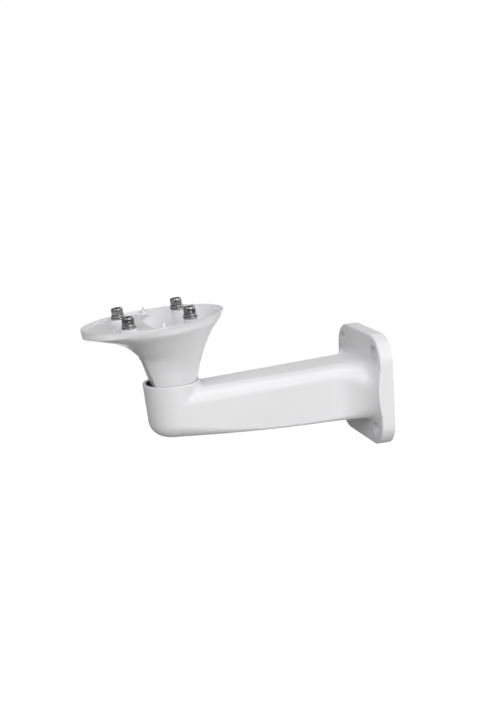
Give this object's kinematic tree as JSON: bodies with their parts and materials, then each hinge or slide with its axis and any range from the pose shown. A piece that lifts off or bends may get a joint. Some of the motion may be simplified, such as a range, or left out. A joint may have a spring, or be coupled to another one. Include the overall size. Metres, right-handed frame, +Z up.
{
  "type": "camera bracket",
  "caption": "White cast wall bracket for a security camera: a hollow arm with a wall plate and a clamped, tilting and panning trumpet-shaped head with camera screws.",
  "frame": {"origin": "centre of the wall plate's back face, where it meets the wall", "axes": "+X out of the back of the plate into the wall, so the arm runs along -X; +Z up; Y across the plate"},
  "size_m": [0.2606, 0.099, 0.1441],
  "materials": {
    "painted_casting": "smooth white powder coat, slightly glossy",
    "bright_steel": "bright plated steel",
    "plated_steel": "zinc plated"
  },
  "bodies": {
    "arm_body": {"arm": "painted_casting", "clamp_screw": "plated_steel", "clamp_washer": "plated_steel", "clamp_spring_washer": "plated_steel"},
    "swivel": {"clamp_saddle": "plated_steel"},
    "head_body": {"head": "painted_casting", "plain_washer_1": "bright_steel", "spring_washer_1": "bright_steel", "camera_screw_1": "bright_steel", "plain_washer_2": "bright_steel", "spring_washer_2": "bright_steel", "camera_screw_2": "bright_steel", "plain_washer_3": "bright_steel", "spring_washer_3": "bright_steel", "camera_screw_3": "bright_steel", "plain_washer_4": "bright_steel", "spring_washer_4": "bright_steel", "camera_screw_4": "bright_steel"}
  },
  "joints": [
    {"name": "pan", "type": "hinge", "parent": "arm_body", "child": "swivel", "pos_m": [-0.187, 0, 0.0369], "axis": [0, 0, 1], "range_deg": [-180, 180]},
    {"name": "tilt", "type": "hinge", "parent": "swivel", "child": "head_body", "pos_m": [-0.187, 0, 0.0369], "axis": [0, -1, 0], "range_deg": [-8, 30]}
  ]
}
